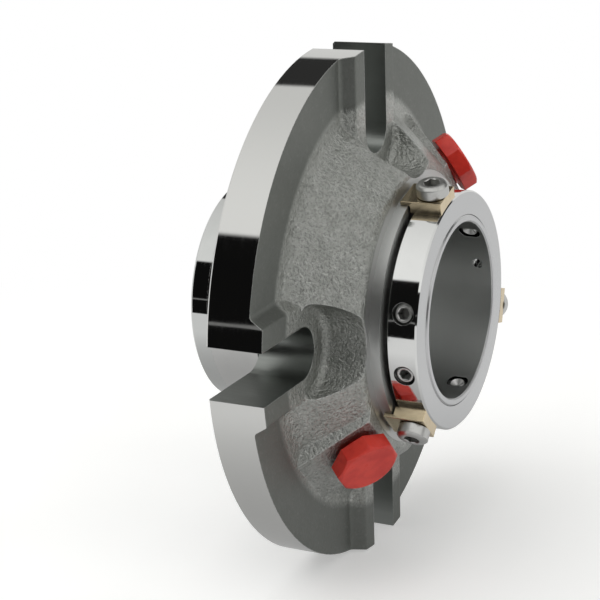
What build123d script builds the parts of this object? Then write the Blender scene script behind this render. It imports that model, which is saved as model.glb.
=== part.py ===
from build123d import *

import os
from math import cos, pi, radians, sin, tan

# Cartridge mechanical seal for a 50 mm shaft, in millimetres.
# The shaft axis is X. X = 0 is the rear face of the gland, which seats on the stuffing box,
# and +X points out of the machine. Angles turn about X, from +Y towards +Z.
os.makedirs("parts", exist_ok=True)

# ---- driving sizes -------------------------------------------------------------------------
shaft_r = 25.0               # shaft radius, and the bore of the sleeve
sleeve_wall = 2.0            # wall of the sleeve
slip = 0.1                   # radial clearance of pieces that slide over each other by hand
press = 0.02                 # radial clearance of pieces that are pressed together
turning_gap = 0.4            # radial clearance of the spring plate in the chamber

# chamber inside the gland, from the gland's rear face inwards
chamber_room = 8.0           # from the sleeve to the chamber's wall
wave_room = 3.3              # axial room of the wave spring
web_gap = 2.8                # from the sleeve to the wall behind the spring
web_t = 4.5                  # thickness of that wall
bushing_l = 7.0
bushing_gap = 0.25           # radial clearance of the bushing over the sleeve
bushing_wall = 3.75
bushing_chamfer = 0.5
snap_t = 1.2                 # thickness of the retaining ring
snap_depth = 1.2             # depth of its groove
snap_wall = 1.7              # radial width of the ring inside the bore
snap_play = 0.05             # play of the ring in its groove, each side
snap_ear_gap = 4.0           # opening between the ring's ends
snap_ear_r = 1.5
snap_ear_spread = 3.6        # distance of an ear from the ring's middle plane
snap_ear_in = 1.8            # distance of an ear's middle from the bore's wall
snap_eye_r = 0.8

# gland casting
flange_t = 12.2              # thickness of the cast flange
pad_h = 3.8                  # height of the pads beside the bolt slots
pad_draft = 33.0             # slope of the pad's cast sides, degrees
cone_run = 14.0              # radial width of the cone's slope
boss_land = 5.0              # flat between the cone's upper edge and the nose ring
nose_wall = 5.0              # wall of the nose around the throttle bushing
nose_h = 3.0                 # length of the machined nose ring
nose_recess = 4.3            # how deep the retaining ring lies inside the nose
cast_round = 3.0             # rounding of the cast corners
pad_foot_round = 1.6         # rounding where a pad's side meets the flange
pad_edge_round = 0.6         # rounding of a pad's upper edges
rim_chamfer = 0.6            # chamfer of the rim's rear edge

# gasket in the rear face
gasket_land = 1.6            # wall between the chamber and the gasket's recess
gasket_w = 4.8
gasket_t = 1.6
gasket_proud = 0.4           # how far the gasket stands out of the face

# bolt slots and nut pockets
slot_count = 4
slot_r = 7.1                 # half the width of a bolt slot
slot_bridge = 2.2            # metal between the gasket's recess and a slot
slot_run = 22.8              # from the middle of a slot's round end to the rim
pocket_land = 6.3            # width of the seat for a nut around the slot's end
pocket_round = 2.2           # rounding at the bottom of the pocket

# ports
port_angles = (45.0, 225.0)
port_tilt = 45.0             # angle between the port's axis and the shaft axis
port_mouth_back = 2.6        # from the chamber's end to the middle of the port's passage
port_pad_lift = 0.5          # how far a port's flat stands over the cone's upper edge
port_pad_half = 10.5         # half the width of the flat around a port
port_pad_length = 46.0       # length of that flat before the cone's top trims it
port_pad_draft = 35.0        # slope of its cast sides, degrees
port_thread_r = 6.6          # bore for the plug's thread
port_thread_depth = 10.0
port_drill_r = 3.0           # passage from the port into the seal chamber
plug_af = 17.0               # width across the flats of a plug's hexagon
plug_head_h = 4.9
plug_gap = 1.3               # gap left under a plug's head
plug_crown = 1.0             # how far the head's round crown lies inside the flats
plug_crown_angle = 55.0      # slope of the head's chamfer, degrees
plug_thread_l = 9.0
plug_taper = 1.8             # half angle of the plug's tapered thread, degrees
plug_thread_play = 0.05

# lock ring on the sleeve's outer end
lock_gap = 0.9               # gap between the nose and the lock ring
lock_l = 8.7
screw_back = 4.1             # from the lock ring's outer face to the middle of its screws
lock_wall = 6.8
lock_chamfer = 0.5
sleeve_end = 0.3             # how far the sleeve stands out of the lock ring

# set screws
clip_count = 3
first_clip_angle = 106.3
cup_screw_shift = 60.0       # from a clip to the next cup-point screw, degrees
dog_screw_shift = 90.0       # from a clip to the next dog-point screw, degrees
small_hole_shift = 30.0      # from a clip to the next small hole of the sleeve, degrees
set_screw_r = 3.0
set_screw_sunk = 0.6         # how deep a set screw sits below the ring's outside
set_screw_socket_af = 3.0
set_screw_socket_depth = 3.2
cup_point_depth = 1.0
cup_tip_short = 0.3          # how far a cup point stops short of the shaft
cup_rim = 0.6                # width of the point's rim
cup_angle = 50.0
dog_point_r = 2.0
dog_point_h = 1.0
small_hole_r = 1.6

# setting clips and their low-headed screws
clip_half = 5.2              # half the width of a clip
clip_lip_t = 0.8             # thickness of the lip over the nose ring
clip_gap_x = 0.8             # gap between a clip's lip and the cone's top
clip_gap_r = 0.1             # gap between a clip's lip and the nose ring
clip_inset = 0.1             # how far the block stops short of the lock ring's outer face
clip_chamfer = 0.4
clip_screw_r = 2.5
clip_screw_head_r = 4.4
clip_screw_head_h = 3.6
clip_screw_crown = 0.7       # chamfer around the top of the head
clip_screw_socket_af = 4.0
clip_screw_socket_depth = 2.1
clip_screw_depth = 5.0       # how far the screw enters the lock ring

# rotary unit behind the gland
holder_room = 3.4            # from the sleeve to the holder's bore
holder_wall = 2.0
holder_base = 6.6
holder_front = 7.0           # front edge of the holder, measured back from the gland's face
collar_back = 28.2           # rear end of the sleeve, measured back from the gland's face
collar_l = 5.6
collar_chamfer = 0.8
sleeve_chamfer = 0.4
ring_section = 1.3           # radius of the shaft O-ring's cord
shaft_ring_back = 3.1        # from the sleeve's rear end to the middle of the shaft O-ring
pocket_depth = 2.4           # recess for the O-ring behind the rotary face
face_ring_section = 1.2      # radius of that O-ring's cord
cup_pin_r = 1.5
cup_pin_count = 3
cup_pin_angle = 30.0
cup_pin_reach = 3.0          # how far these pins enter the holder
cup_pin_floor = 1.6          # wall left in the collar behind them
seal_plane = 3.2             # running faces, measured back from the gland's face
rotary_nose_h = 2.4
rotary_nose_gap = 1.1        # from the sleeve to the raised running face
rotary_nose_w = 1.6          # width of the running face
drive_pin_r = 1.5
drive_pin_back = 11.5        # place of the drive pins, measured back from the gland's face
drive_pin_engage = 1.4       # how far a drive pin enters the rotary face
drive_pin_seat = 1.3         # how far it enters the holder's wall
drive_pin_angles = (0.0, 180.0)

# stationary unit in the gland
stat_gap = 1.0               # from the sleeve to the stationary face
stat_nose_w = 3.0            # width of its nose
stat_play = 0.3              # radial play of its body in the chamber
stat_shoulder = 0.8          # start of its body, inside the gland's face
stat_body_l = 5.4
stat_ring_section = 1.1      # radius of the cord of the O-ring on the stationary face
face_chamfer = 0.4           # chamfer at the edges of a running face
plate_t = 5.0                # spring plate
plate_w = 4.3
wave_t = 0.5                 # strip of the wave spring
wave_inset = 0.3             # how far the strip stays inside the plate's edges
wave_count = 4
lug_pin_r = 1.25
lug_pin_depth = 4.0          # how far an anti-rotation pin enters the gland
lug_pin_engage = 2.6         # how far it enters the spring plate
lug_pin_angle = 135.0
lug_wall = 0.4               # wall of the spring plate in front of a pin
stat_travel = 1.2            # free travel of the stationary unit into the gland

# ---- radii worked out from them, from the shaft outwards -------------------------------------
sleeve_r = shaft_r + sleeve_wall
web_r = sleeve_r + web_gap
bushing_bore_r = sleeve_r + bushing_gap
bushing_r = bushing_bore_r + bushing_wall
chamber_r = sleeve_r + chamber_room
gasket_in_r = chamber_r + gasket_land
gasket_out_r = gasket_in_r + gasket_w
slot_pitch_r = gasket_out_r + slot_bridge + slot_r
gland_r = slot_pitch_r + slot_run
pocket_r = slot_r + pocket_land
pad_half = pocket_r - slip
nose_r = bushing_r + nose_wall
boss_top_r = nose_r + boss_land
boss_foot_r = boss_top_r + cone_run
lock_r = sleeve_r + lock_wall
clip_top_r = nose_r + clip_gap_r + clip_lip_t
clip_screw_tip_r = lock_r - clip_screw_depth
set_screw_top_r = lock_r - set_screw_sunk
holder_bore_r = sleeve_r + holder_room
holder_r = holder_bore_r + holder_wall
cup_pin_ring_r = (holder_r + sleeve_r) / 2 + cup_pin_r / 2
face_ring_r = sleeve_r + slip + face_ring_section
rotary_nose_in_r = sleeve_r + rotary_nose_gap
rotary_nose_out_r = rotary_nose_in_r + rotary_nose_w
stat_in_r = sleeve_r + stat_gap
stat_nose_r = stat_in_r + stat_nose_w
stat_body_r = chamber_r - stat_play
ring_groove_r = chamber_r - slip - 2 * stat_ring_section
plate_r = chamber_r - turning_gap
plate_in_r = plate_r - plate_w
wave_in_r = plate_in_r + 2 * wave_inset
wave_out_r = plate_r - wave_inset

# ---- stations along the shaft, from the rear end outwards -------------------------------------
collar_front = collar_l - collar_back
shaft_ring_x = shaft_ring_back - collar_back
holder_floor = collar_front + holder_base
rotary_shoulder = -seal_plane - rotary_nose_h
plate_x = stat_shoulder + stat_body_l
ring_groove_x = stat_shoulder + stat_body_l / 2
lug_x = plate_x + plate_t - lug_pin_r - lug_wall
chamber_depth = plate_x + plate_t + wave_room
pad_x = flange_t + pad_h
bushing_x = chamber_depth + web_t
snap_x = bushing_x + bushing_l
nose_x = snap_x + snap_t + nose_recess
boss_x = nose_x - nose_h
clip_lip_x = boss_x + clip_gap_x
lock_x = nose_x + lock_gap
lock_front = lock_x + lock_l
screw_x = lock_front - screw_back

# ---- ports and angles --------------------------------------------------------------------------
port_out = (cos(radians(port_tilt)), sin(radians(port_tilt)))
port_axis_offset = chamber_r - (chamber_depth - port_mouth_back) * tan(radians(port_tilt))
port_pad_level = boss_x * port_out[0] + (boss_top_r + port_pad_lift) * port_out[1]
lug_angles = (lug_pin_angle, lug_pin_angle + 180)
clip_angles = [first_clip_angle + 360 / clip_count * i for i in range(clip_count)]
cup_screw_angles = [angle + cup_screw_shift for angle in clip_angles]
dog_screw_angles = [angle + dog_screw_shift for angle in clip_angles]
small_hole_angles = [angle + small_hole_shift for angle in clip_angles]
slot_angles = [360 / slot_count * i for i in range(slot_count)]


def turn(points, mode=Mode.ADD):
    """Close (x, radius) points into a half section and turn it about the shaft axis."""
    with BuildSketch(Plane.XY) as section:
        with BuildLine():
            Polyline(*points, close=True)
        make_face()
    revolve(section.sketch, axis=Axis.X, mode=mode)


def turn_band(x0, x1, r0, r1, mode=Mode.ADD):
    """Turn a plain ring between two stations and two radii."""
    turn([(x0, r0), (x1, r0), (x1, r1), (x0, r1)], mode)


def turn_cord(x, r, cord_r):
    """Turn the round cord of an O-ring."""
    with BuildSketch(Plane.XY) as section:
        with Locations((x, r)):
            Circle(cord_r)
    revolve(section.sketch, axis=Axis.X)


def radial_plane(angle, x, r):
    """Plane across a radius: its normal points outwards and its x axis runs along the shaft."""
    out = (0, cos(radians(angle)), sin(radians(angle)))
    return Plane(origin=(x, r * out[1], r * out[2]), x_dir=(1, 0, 0), z_dir=out)


def port_plane(angle, level=port_pad_level):
    """Plane across a port's axis: its normal points out of the port."""
    side = (cos(radians(angle)), sin(radians(angle)))
    out = Vector(port_out[0], port_out[1] * side[0], port_out[1] * side[1])
    start = Vector(0, port_axis_offset * side[0], port_axis_offset * side[1])
    along = level - port_axis_offset * port_out[1]
    return Plane(origin=start + out * along, x_dir=(0, -side[1], side[0]), z_dir=out)


def finish(part, name):
    """Label a finished piece and write its file."""
    part.label = name
    export_step(part, f"parts/{name}.step")


# ---- gland ---------------------------------------------------------------------------------
# Cutter for a nut pocket: a round-bottomed pocket that opens outwards.
with BuildPart() as nut_pocket:
    with BuildSketch(Plane.YZ.offset(pad_x)):
        with Locations((slot_pitch_r, 0)):
            Circle(pocket_r)
        with Locations((slot_pitch_r, 0)):
            Rectangle(gland_r, 2 * pocket_r, align=(Align.MIN, Align.CENTER))
    extrude(amount=boss_x)
    fillet(nut_pocket.faces().sort_by(Axis.X)[0].edges(), pocket_round)

with BuildPart() as gland:
    # flange with pads beside the slots, whose cast sides slope and run out in a rounding
    with BuildSketch(Plane.YZ):
        Circle(gland_r)
    extrude(amount=flange_t)
    rear = gland.edges().filter_by(GeomType.CIRCLE).sort_by(Axis.X)[0]
    chamfer(rear, rim_chamfer)
    with BuildSketch(Plane.YZ.offset(flange_t)):
        with PolarLocations(gland_r, slot_count):
            Rectangle(
                2 * (gland_r - slot_pitch_r + pad_h),
                2 * (pad_half + pad_h * sin(radians(pad_draft))))
    extrude(amount=pad_h, taper=pad_draft)
    turn_band(-gland_r, gland_r, gland_r, 2 * gland_r, Mode.SUBTRACT)
    for level, rounding in ((flange_t, pad_foot_round), (pad_x, pad_edge_round)):
        lines = gland.edges().filter_by(GeomType.LINE).filter_by_position(Axis.X, level, level)
        fillet(lines.filter_by(lambda edge: edge.length > pad_half * 1.5), rounding)
    # cone and nose in one turned section
    with BuildSketch(Plane.XY) as section:
        with BuildLine():
            Polyline(
                (0, shaft_r), (0, boss_foot_r + 2 * cast_round),
                (flange_t, boss_foot_r + 2 * cast_round), (flange_t, boss_foot_r),
                (boss_x, boss_top_r), (boss_x, nose_r), (nose_x, nose_r), (nose_x, shaft_r),
                close=True)
        make_face()
        foot = section.vertices().sort_by_distance((flange_t, boss_foot_r))[0]
        fillet(foot, 2 * cast_round)
        top = section.vertices().sort_by_distance((boss_x, boss_top_r))[0]
        fillet(top, cast_round)
    revolve(axis=Axis.X)
    # flats around the two ports
    for angle in port_angles:
        with BuildSketch(port_plane(angle)):
            Rectangle(2 * port_pad_half, port_pad_length)
        extrude(amount=-(port_pad_level - nose_r), taper=-port_pad_draft)
    # the rim and the cone's top trim all that was added
    turn_band(-gland_r, gland_r, gland_r, 2 * gland_r, Mode.SUBTRACT)
    turn_band(-gland_r, 0, shaft_r, gland_r, Mode.SUBTRACT)
    turn_band(boss_x, gland_r, nose_r, gland_r, Mode.SUBTRACT)
    turn_band(nose_x, gland_r, 0, nose_r, Mode.SUBTRACT)
    # bores, from the rear face to the nose
    turn([
        (-slip, 0), (-slip, chamber_r), (chamber_depth, chamber_r), (chamber_depth, web_r),
        (bushing_x, web_r), (bushing_x, bushing_r), (nose_x + slip, bushing_r),
        (nose_x + slip, 0)], Mode.SUBTRACT)
    turn_band(
        bushing_x + bushing_l, bushing_x + bushing_l + snap_t, web_r, bushing_r + snap_depth,
        Mode.SUBTRACT)
    turn_band(
        -slip, gasket_t - gasket_proud, gasket_in_r - slip, gasket_out_r + slip, Mode.SUBTRACT)
    # blind holes for the anti-rotation pins
    for angle in lug_angles:
        with BuildSketch(radial_plane(angle, lug_x, chamber_r - slip)):
            Circle(lug_pin_r)
        extrude(amount=lug_pin_depth + slip, mode=Mode.SUBTRACT)
    # bolt slots and nut pockets
    with BuildSketch(Plane.YZ):
        with PolarLocations(slot_pitch_r, slot_count):
            Circle(slot_r)
            Rectangle(gland_r, 2 * slot_r, align=(Align.MIN, Align.CENTER))
    extrude(amount=boss_x, mode=Mode.SUBTRACT)
    with Locations(*[Rotation(angle, 0, 0) for angle in slot_angles]):
        add(nut_pocket.part, mode=Mode.SUBTRACT)
    # ports: thread bore and passage into the chamber
    for angle in port_angles:
        with BuildSketch(port_plane(angle)):
            Circle(port_thread_r)
        extrude(amount=-port_thread_depth, mode=Mode.SUBTRACT)
        with BuildSketch(port_plane(angle)):
            Circle(port_drill_r)
        extrude(amount=-port_thread_depth - (slot_pitch_r - chamber_r), mode=Mode.SUBTRACT)
finish(gland.part, "gland")

# ---- standing pieces in the gland ------------------------------------------------------------
with BuildPart() as gland_gasket:
    turn_band(-gasket_proud, gasket_t - gasket_proud, gasket_in_r, gasket_out_r)
finish(gland_gasket.part, "gland_gasket")

# Throttle bushing with a chamfered lead-in, pressed into the nose.
with BuildPart() as throttle_bushing:
    turn_band(bushing_x, bushing_x + bushing_l, bushing_bore_r, bushing_r - press)
    mouth = throttle_bushing.edges().filter_by(GeomType.CIRCLE).group_by(SortBy.RADIUS)[0]
    chamfer(mouth, bushing_chamfer)
finish(throttle_bushing.part, "throttle_bushing")

# Retaining ring: an open ring with two ears for the pliers.
snap_ear_ring_r = bushing_r - snap_ear_in
with BuildPart() as retaining_ring:
    with BuildSketch(Plane.YZ.offset(snap_x + snap_play)):
        Circle(bushing_r + snap_depth - slip)
        Circle(bushing_r - snap_wall, mode=Mode.SUBTRACT)
        with Locations((0, -bushing_r)):
            Rectangle(snap_ear_gap, 2 * snap_ear_r + 2 * snap_depth, mode=Mode.SUBTRACT)
        with Locations(*[(side * snap_ear_spread, -snap_ear_ring_r) for side in (-1, 1)]):
            Circle(snap_ear_r)
            Circle(snap_eye_r, mode=Mode.SUBTRACT)
    extrude(amount=snap_t - 2 * snap_play)
finish(retaining_ring.part, "retaining_ring")

# Port plugs: a chamfered hexagon head on a neck and a tapered thread.
for index, angle in enumerate(port_angles, start=1):
    face = port_plane(angle)
    head = port_plane(angle, port_pad_level + plug_gap)
    with BuildPart() as port_plug:
        with BuildSketch(head):
            RegularPolygon(plug_af / 2, 6, major_radius=False)
        extrude(amount=plug_head_h)
        with BuildSketch(head.offset(plug_head_h)):
            Circle(plug_af / 2 - plug_crown)
        extrude(amount=-plug_head_h, taper=-plug_crown_angle, mode=Mode.INTERSECT)
        with BuildSketch(head):
            Circle(port_thread_r - plug_thread_play)
        extrude(amount=-plug_gap)
        with BuildSketch(face):
            Circle(port_thread_r - plug_thread_play)
        extrude(amount=-plug_thread_l, taper=plug_taper)
    finish(port_plug.part, f"port_plug_{index}")

# Anti-rotation pins, pressed radially into the chamber's wall from inside.
with BuildPart() as anti_rotation_pins:
    for angle in lug_angles:
        with BuildSketch(radial_plane(angle, lug_x, plate_r - lug_pin_engage)):
            Circle(lug_pin_r - press)
        extrude(amount=lug_pin_engage + lug_pin_depth - slip)
finish(anti_rotation_pins.part, "anti_rotation_pins")

# ---- stationary face unit, pushed back by the wave spring ------------------------------------
with BuildPart() as stationary_face:
    turn([
        (-seal_plane, stat_in_r), (-seal_plane, stat_nose_r), (stat_shoulder, stat_nose_r),
        (stat_shoulder, stat_body_r), (plate_x, stat_body_r), (plate_x, stat_in_r)])
    lip = stationary_face.edges().filter_by(GeomType.CIRCLE).group_by(Axis.X)[0]
    chamfer(lip, face_chamfer)
    turn_band(
        ring_groove_x - stat_ring_section - slip, ring_groove_x + stat_ring_section + slip,
        ring_groove_r - slip, stat_body_r, Mode.SUBTRACT)
finish(stationary_face.part, "stationary_face")

with BuildPart() as stationary_o_ring:
    turn_cord(ring_groove_x, ring_groove_r + stat_ring_section, stat_ring_section)
finish(stationary_o_ring.part, "stationary_o_ring")

# Spring plate with two open slots for the anti-rotation pins.
with BuildPart() as spring_plate:
    turn_band(plate_x, plate_x + plate_t, plate_in_r, plate_r)
    for angle in lug_angles:
        slot_x = lug_x - stat_travel / 2
        with BuildSketch(radial_plane(angle, slot_x, plate_r - lug_pin_engage - turning_gap)):
            SlotCenterToCenter(stat_travel, 2 * (lug_pin_r + slip))
        extrude(amount=lug_pin_engage + lug_pin_depth, mode=Mode.SUBTRACT)
finish(spring_plate.part, "spring_plate")

# Wave spring: a flat strip on a closed wavy path between the plate and the chamber's end.
wave_mid_x = (plate_x + plate_t + chamber_depth) / 2
wave_swing = (chamber_depth - plate_x - plate_t - wave_t) / 2 - slip
wave_steps = 8 * wave_count


def wave_path(r):
    """Points of the strip's rear edge at a radius, evenly spaced round the shaft axis."""
    turns = [2 * pi * i / wave_steps for i in range(wave_steps)]
    start = wave_mid_x - wave_t / 2
    return [(start + wave_swing * cos(wave_count * t), r * cos(t), r * sin(t)) for t in turns]


with BuildLine() as strip_inside:
    Spline(*wave_path(wave_in_r), periodic=True)
with BuildLine() as strip_outside:
    Spline(*wave_path(wave_out_r), periodic=True)
with BuildPart() as wave_spring:
    strip = Face.make_surface_from_curves(strip_inside.edges()[0], strip_outside.edges()[0])
    extrude(strip, amount=wave_t, dir=(1, 0, 0))
finish(wave_spring.part, "wave_spring")

# ---- sleeve and rotary unit --------------------------------------------------------------------
# Sleeve: a tube with a collar at its rear end and an O-ring groove in its bore.
with BuildPart() as sleeve:
    turn([
        (-collar_back, shaft_r), (-collar_back, holder_r), (collar_front, holder_r),
        (collar_front, sleeve_r), (lock_front + sleeve_end, sleeve_r),
        (lock_front + sleeve_end, shaft_r)])
    chamfer(
        sleeve.edges().filter_by(GeomType.CIRCLE).group_by(Axis.X)[0].group_by(SortBy.RADIUS)[-1],
        collar_chamfer)
    chamfer(sleeve.edges().filter_by(GeomType.CIRCLE).group_by(Axis.X)[-1], sleeve_chamfer)
    turn_band(
        shaft_ring_x - ring_section - slip, shaft_ring_x + ring_section + slip, shaft_r - slip,
        shaft_r + 2 * ring_section + slip, Mode.SUBTRACT)
    for angle in cup_screw_angles:
        with BuildSketch(radial_plane(angle, screw_x, shaft_r - slip)):
            Circle(set_screw_r + slip)
        extrude(amount=sleeve_wall + 2 * slip, mode=Mode.SUBTRACT)
    for angle in small_hole_angles:
        with BuildSketch(radial_plane(angle, screw_x, shaft_r - slip)):
            Circle(small_hole_r)
        extrude(amount=sleeve_wall + 2 * slip, mode=Mode.SUBTRACT)
    with BuildSketch(Plane.YZ.offset(collar_front)):
        with PolarLocations(cup_pin_ring_r, cup_pin_count, cup_pin_angle):
            Circle(cup_pin_r)
    extrude(amount=-collar_l + cup_pin_floor, mode=Mode.SUBTRACT)
finish(sleeve.part, "sleeve")

with BuildPart() as shaft_o_ring:
    turn_cord(shaft_ring_x, shaft_r + ring_section + press, ring_section)
finish(shaft_o_ring.part, "shaft_o_ring")

# Holder: a cup that seats on the sleeve's collar and carries the rotary face.
with BuildPart() as rotary_holder:
    turn([
        (collar_front, sleeve_r + press), (collar_front, holder_r), (-holder_front, holder_r),
        (-holder_front, holder_bore_r), (holder_floor, holder_bore_r),
        (holder_floor, face_ring_r + face_ring_section + slip),
        (holder_floor - pocket_depth, face_ring_r + face_ring_section + slip),
        (holder_floor - pocket_depth, sleeve_r + press)])
    chamfer(
        rotary_holder.edges().filter_by(GeomType.CIRCLE).group_by(Axis.X)[-1].sort_by(
            SortBy.RADIUS)[-1], collar_chamfer)
    with BuildSketch(Plane.YZ.offset(collar_front)):
        with PolarLocations(cup_pin_ring_r, cup_pin_count, cup_pin_angle):
            Circle(cup_pin_r)
    extrude(amount=cup_pin_reach, mode=Mode.SUBTRACT)
    for angle in drive_pin_angles:
        with BuildSketch(radial_plane(angle, -drive_pin_back, holder_bore_r - slip)):
            Circle(drive_pin_r)
        extrude(amount=drive_pin_seat + slip, mode=Mode.SUBTRACT)
finish(rotary_holder.part, "rotary_holder")

with BuildPart() as holder_pins:
    with BuildSketch(Plane.YZ.offset(collar_front + cup_pin_reach - slip)):
        with PolarLocations(cup_pin_ring_r, cup_pin_count, cup_pin_angle):
            Circle(cup_pin_r - press)
    extrude(amount=-cup_pin_reach - collar_l + cup_pin_floor + 2 * slip)
finish(holder_pins.part, "holder_pins")

with BuildPart() as rotary_o_ring:
    turn_cord(holder_floor - pocket_depth / 2, face_ring_r, face_ring_section)
finish(rotary_o_ring.part, "rotary_o_ring")

# Rotary face: a raised running face in front, and slots for the drive pins in its outside.
with BuildPart() as rotary_face:
    turn([
        (holder_floor, sleeve_r + slip), (holder_floor, holder_bore_r - slip),
        (rotary_shoulder, holder_bore_r - slip), (rotary_shoulder, rotary_nose_out_r),
        (-seal_plane, rotary_nose_out_r), (-seal_plane, rotary_nose_in_r),
        (rotary_shoulder, rotary_nose_in_r), (rotary_shoulder, sleeve_r + slip)])
    for angle in drive_pin_angles:
        with BuildSketch(radial_plane(angle, -drive_pin_back, holder_bore_r - drive_pin_engage - slip)):
            Circle(drive_pin_r + slip)
        extrude(amount=drive_pin_engage + 2 * slip, mode=Mode.SUBTRACT)
finish(rotary_face.part, "rotary_face")

with BuildPart() as drive_pins:
    for angle in drive_pin_angles:
        with BuildSketch(radial_plane(angle, -drive_pin_back, holder_bore_r - drive_pin_engage)):
            Circle(drive_pin_r - press)
        extrude(amount=drive_pin_engage + drive_pin_seat - slip)
finish(drive_pins.part, "drive_pins")

# ---- lock ring, its screws and the setting clips -----------------------------------------------
with BuildPart() as lock_ring:
    turn_band(lock_x, lock_front, sleeve_r + slip, lock_r)
    chamfer(
        lock_ring.edges().filter_by(GeomType.CIRCLE).group_by(SortBy.RADIUS)[-1], lock_chamfer)
    for angle in cup_screw_angles + dog_screw_angles:
        with BuildSketch(radial_plane(angle, screw_x, shaft_r)):
            Circle(set_screw_r + press)
        extrude(amount=lock_r, mode=Mode.SUBTRACT)
    for angle in clip_angles:
        with BuildSketch(radial_plane(angle, screw_x, clip_screw_tip_r - slip)):
            Circle(clip_screw_r)
        extrude(amount=lock_r, mode=Mode.SUBTRACT)
finish(lock_ring.part, "lock_ring")

# Cup-point screws go through the sleeve; their hollow points bite the shaft.
with BuildPart() as cup_point_screws:
    for angle in cup_screw_angles:
        top = radial_plane(angle, screw_x, set_screw_top_r)
        tip = radial_plane(angle, screw_x, shaft_r + cup_tip_short)
        with BuildSketch(top):
            Circle(set_screw_r)
        extrude(amount=-(set_screw_top_r - shaft_r - cup_tip_short))
        with BuildSketch(top):
            RegularPolygon(set_screw_socket_af / 2, 6, major_radius=False)
        extrude(amount=-set_screw_socket_depth, mode=Mode.SUBTRACT)
        with BuildSketch(tip):
            Circle(set_screw_r - cup_rim)
        extrude(amount=cup_point_depth, taper=cup_angle, mode=Mode.SUBTRACT)
finish(cup_point_screws.part, "cup_point_screws")

# Dog-point screws stop on the sleeve's outside.
with BuildPart() as dog_point_screws:
    for angle in dog_screw_angles:
        top = radial_plane(angle, screw_x, set_screw_top_r)
        with BuildSketch(top):
            Circle(set_screw_r)
        extrude(amount=-(set_screw_top_r - sleeve_r - dog_point_h))
        with BuildSketch(top):
            Circle(dog_point_r)
        extrude(amount=-(set_screw_top_r - sleeve_r - slip))
        with BuildSketch(top):
            RegularPolygon(set_screw_socket_af / 2, 6, major_radius=False)
        extrude(amount=-set_screw_socket_depth, mode=Mode.SUBTRACT)
finish(dog_point_screws.part, "dog_point_screws")

# Setting clips: a block on the lock ring with a lip over the nose ring.
for index, angle in enumerate(clip_angles, start=1):
    with BuildPart() as setting_clip:
        with BuildSketch(radial_plane(angle, 0, clip_top_r)):
            with Locations((clip_lip_x, 0)):
                Rectangle(
                    lock_front - clip_inset - clip_lip_x, 2 * clip_half,
                    align=(Align.MIN, Align.CENTER))
            with Locations((screw_x, 0)):
                Circle(clip_screw_r + slip, mode=Mode.SUBTRACT)
        extrude(amount=-(clip_top_r - lock_r) - clip_half)
        outwards = Axis((0, 0, 0), radial_plane(angle, 0, 1).z_dir)
        rim = setting_clip.faces().sort_by(outwards)[-1].outer_wire()
        chamfer(rim.edges(), clip_chamfer)
        turn_band(lock_x - lock_gap / 2, 2 * lock_front, sleeve_r / 2, lock_r, Mode.SUBTRACT)
        turn_band(0, lock_x - lock_gap / 2, sleeve_r / 2, nose_r + clip_gap_r, Mode.SUBTRACT)
    finish(setting_clip.part, f"setting_clip_{index}")

# Clip screws: low cap heads with a hexagon socket.
with BuildPart() as clip_screws:
    for angle in clip_angles:
        seat = radial_plane(angle, screw_x, clip_top_r)
        with BuildSketch(seat):
            Circle(clip_screw_head_r)
        extrude(amount=clip_screw_head_h)
        outwards = Axis(seat.origin, seat.z_dir)
        crown = clip_screws.edges().filter_by(GeomType.CIRCLE).sort_by(outwards)[-1]
        chamfer(crown, clip_screw_crown)
        with BuildSketch(seat):
            Circle(clip_screw_r - press)
        extrude(amount=-(clip_top_r - clip_screw_tip_r))
        with BuildSketch(seat.offset(clip_screw_head_h)):
            RegularPolygon(clip_screw_socket_af / 2, 6, major_radius=False)
        extrude(amount=-clip_screw_socket_depth, mode=Mode.SUBTRACT)
finish(clip_screws.part, "clip_screws")
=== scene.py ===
import logging
import math
from dataclasses import dataclass, field
from enum import Enum
from typing import Iterable, Optional, Sequence, Union

import bmesh
import bpy
from mathutils import Matrix, Vector


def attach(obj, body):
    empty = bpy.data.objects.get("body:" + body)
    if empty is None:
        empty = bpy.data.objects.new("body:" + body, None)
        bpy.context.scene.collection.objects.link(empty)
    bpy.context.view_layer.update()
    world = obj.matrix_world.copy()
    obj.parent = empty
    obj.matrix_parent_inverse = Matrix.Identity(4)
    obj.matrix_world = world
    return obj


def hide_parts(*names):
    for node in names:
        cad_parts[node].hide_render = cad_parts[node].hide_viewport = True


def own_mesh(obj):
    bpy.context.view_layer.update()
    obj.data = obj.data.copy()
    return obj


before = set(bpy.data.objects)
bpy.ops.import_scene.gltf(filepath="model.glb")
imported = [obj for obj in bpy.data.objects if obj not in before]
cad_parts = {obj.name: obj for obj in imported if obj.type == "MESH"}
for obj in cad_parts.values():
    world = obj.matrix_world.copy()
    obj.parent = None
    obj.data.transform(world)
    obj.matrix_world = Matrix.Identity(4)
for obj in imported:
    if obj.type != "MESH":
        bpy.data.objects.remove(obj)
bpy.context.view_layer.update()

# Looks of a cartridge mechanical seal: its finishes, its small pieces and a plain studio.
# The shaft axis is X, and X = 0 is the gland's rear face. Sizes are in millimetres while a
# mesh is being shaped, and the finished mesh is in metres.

LOG = logging.getLogger("seal")
MM = 0.001
TAU = 2.0 * math.pi
SAMPLES = 6                # rays that look for an edge or a hollow around a point
EDGE_TILT = (0.985, 0.90)  # cosine between the plain and the rounded normal, off and on an edge
MERGE_MM = 0.0005          # points nearer than this are one
OVERLAP_MM = 1.0           # how far a cutting tool reaches past what it cuts

Socket = bpy.types.NodeSocket
Input = Union[Socket, float, Sequence[float]]
Colour = tuple[float, float, float]
Range = tuple[float, float]
Profile = Sequence[tuple[float, float]]


class Body(Enum):
    """Bodies of the frame that a piece can ride on."""

    HOUSING = "housing"
    ROTOR = "rotor"


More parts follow.
